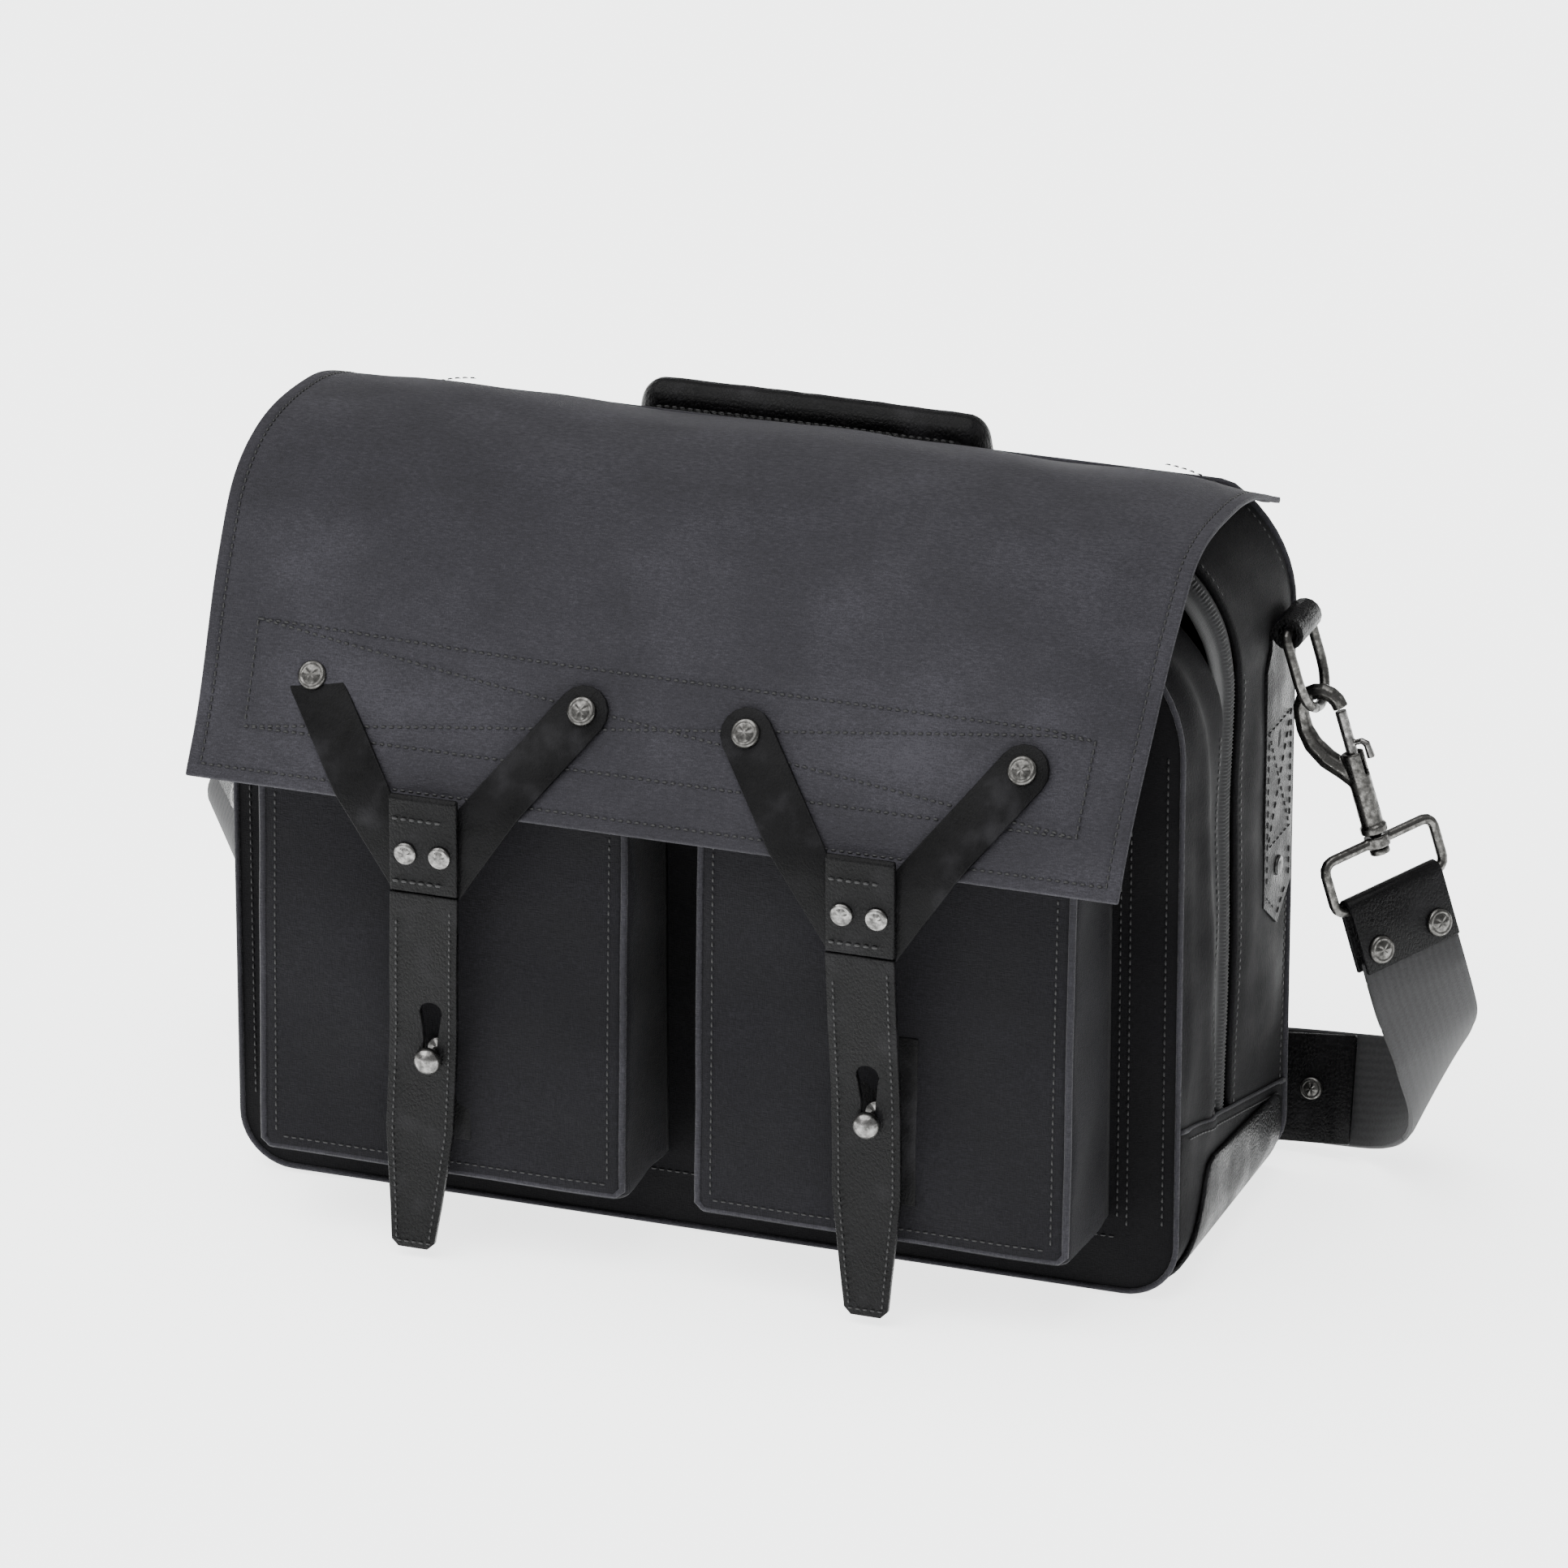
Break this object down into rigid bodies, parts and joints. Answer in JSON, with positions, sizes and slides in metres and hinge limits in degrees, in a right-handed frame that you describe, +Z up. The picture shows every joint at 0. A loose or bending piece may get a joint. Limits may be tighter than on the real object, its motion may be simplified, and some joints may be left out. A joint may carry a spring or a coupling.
{
  "type": "messenger bag",
  "caption": "Soft canvas messenger bag with a full front flap, leather closing yokes and studs, snap-hook shoulder strap, and a leather grip handle.",
  "frame": {"origin": "centre of the leather base's underside, on the surface that the bag stands on", "axes": "+X to the right seen from the front, -Y to the front, +Z up"},
  "size_m": [0.5469, 0.2588, 0.316],
  "materials": {
    "canvas": "waxed canvas, charcoal, matt with soft creases",
    "leather": "black leather, glossy and crackled",
    "antique_nickel": "dark antique nickel, worn bright on the edges",
    "webbing": "ribbed cotton webbing, dark grey",
    "lining": "plain grey lining over thin foam",
    "board": "stiff board",
    "zip": "ribbed zip tape and coil"
  },
  "bodies": {
    "root": {"front_panel": "canvas", "back_panel": "canvas", "front_gusset_left": "canvas", "front_gusset_right": "canvas", "rear_gusset_left": "canvas", "rear_gusset_right": "canvas", "base_boot": "canvas", "pocket_left": "canvas", "pocket_right": "canvas", "leather_base": "leather", "handle_anchor_left": "leather", "handle_anchor_right": "leather", "strap_keeper": "leather", "stud_tab_left": "leather", "stud_tab_right": "leather", "side_strap_left": "leather", "side_strap_right": "leather", "keeper_rivet": "antique_nickel", "stud_left": "antique_nickel", "stud_right": "antique_nickel", "strap_webbing": "webbing", "laptop_divider": "lining", "base_board": "board", "zip_left": "zip", "zip_right": "zip"},
    "flap": {"flap": "canvas", "flap_reinforcement": "lining", "yoke_arm_left_inner": "leather", "yoke_arm_left_outer": "leather", "yoke_arm_right_inner": "leather", "yoke_arm_right_outer": "leather", "flap_rivet_left_inner": "antique_nickel", "flap_rivet_left_outer": "antique_nickel", "flap_rivet_right_inner": "antique_nickel", "flap_rivet_right_outer": "antique_nickel", "junction_rivet_left_inner": "antique_nickel", "junction_rivet_left_outer": "antique_nickel", "junction_rivet_right_inner": "antique_nickel", "junction_rivet_right_outer": "antique_nickel", "junction_left": "leather", "junction_right": "leather"},
    "tongue_left": {"tongue_left": "leather"},
    "tongue_right": {"tongue_right": "leather"},
    "handle": {"handle_grip": "leather"},
    "zip_slider_left": {"zip_slider_left": "antique_nickel"},
    "zip_slider_right": {"zip_slider_right": "antique_nickel"},
    "ring_left": {"ring_left": "antique_nickel"},
    "hook_left": {"hook_left": "antique_nickel"},
    "gate_left": {"gate_left": "antique_nickel"},
    "clip_left": {"strap_frame_left": "antique_nickel", "strap_tab_left": "leather", "tab_rivet_left_front": "antique_nickel", "tab_rivet_left_rear": "antique_nickel"},
    "ring_right": {"ring_right": "antique_nickel"},
    "hook_right": {"hook_right": "antique_nickel"},
    "gate_right": {"gate_right": "antique_nickel"},
    "clip_right": {"strap_frame_right": "antique_nickel", "strap_tab_right": "leather", "tab_rivet_right_front": "antique_nickel", "tab_rivet_right_rear": "antique_nickel"}
  },
  "joints": [
    {"name": "flap_hinge", "type": "hinge", "parent": "root", "child": "flap", "pos_m": [0, 0.0685, 0.305], "axis": [-1, 0, 0], "range_deg": [0, 95]},
    {"name": "tongue_hinge_left", "type": "hinge", "parent": "flap", "child": "tongue_left", "pos_m": [-0.0912, -0.1383, 0.16], "axis": [-1, 0, 0], "range_deg": [0, 90]},
    {"name": "tongue_hinge_right", "type": "hinge", "parent": "flap", "child": "tongue_right", "pos_m": [0.0912, -0.1383, 0.16], "axis": [-1, 0, 0], "range_deg": [0, 90]},
    {"name": "handle_swing", "type": "hinge", "parent": "root", "child": "handle", "pos_m": [-0.006, 0.08, 0.2852], "axis": [-1, 0, 0], "range_deg": [0, 170]},
    {"name": "zip_slider_left_travel", "type": "hinge", "parent": "root", "child": "zip_slider_left", "pos_m": [-0.145, -0.0135, 0.2472], "axis": [0, -1, 0], "range_deg": [0, 90]},
    {"name": "zip_slider_right_travel", "type": "hinge", "parent": "root", "child": "zip_slider_right", "pos_m": [0.145, -0.0135, 0.2472], "axis": [0, 1, 0], "range_deg": [0, 90]},
    {"name": "ring_swing_left", "type": "hinge", "parent": "root", "child": "ring_left", "pos_m": [-0.2085, 0.0485, 0.2475], "axis": [0, 1, 0], "range_deg": [-2, 55], "deforming": ["strap_webbing"]},
    {"name": "hook_tilt_left", "type": "hinge", "parent": "ring_left", "child": "hook_left", "pos_m": [-0.21697, 0.0485, 0.21354], "axis": [0, 1, 0], "range_deg": [-4, 20], "deforming": ["strap_webbing"]},
    {"name": "gate_slide_left", "type": "slide", "parent": "hook_left", "child": "gate_left", "axis": [-0.2419, 0, -0.9703], "range_m": [0, 0.008], "stiffness_N_per_m": 300, "springref_m": -0.004},
    {"name": "frame_swivel_left", "type": "hinge", "parent": "hook_left", "child": "clip_left", "pos_m": [-0.22531, 0.0485, 0.21315], "axis": [-0.2419, 0, -0.9703], "range_deg": [-30, 30], "deforming": ["strap_webbing"]},
    {"name": "ring_swing_right", "type": "hinge", "parent": "root", "child": "ring_right", "pos_m": [0.2085, 0.0485, 0.2475], "axis": [0, -1, 0], "range_deg": [-2, 55], "deforming": ["strap_webbing"]},
    {"name": "hook_tilt_right", "type": "hinge", "parent": "ring_right", "child": "hook_right", "pos_m": [0.21873, 0.0485, 0.21403], "axis": [0, -1, 0], "range_deg": [-4, 20], "deforming": ["strap_webbing"]},
    {"name": "gate_slide_right", "type": "slide", "parent": "hook_right", "child": "gate_right", "axis": [0.2924, 0, -0.9563], "range_m": [0, 0.008], "stiffness_N_per_m": 300, "springref_m": -0.004},
    {"name": "frame_swivel_right", "type": "hinge", "parent": "hook_right", "child": "clip_right", "pos_m": [0.22709, 0.0485, 0.21407], "axis": [0.2924, 0, -0.9563], "range_deg": [-30, 30], "deforming": ["strap_webbing"]}
  ]
}
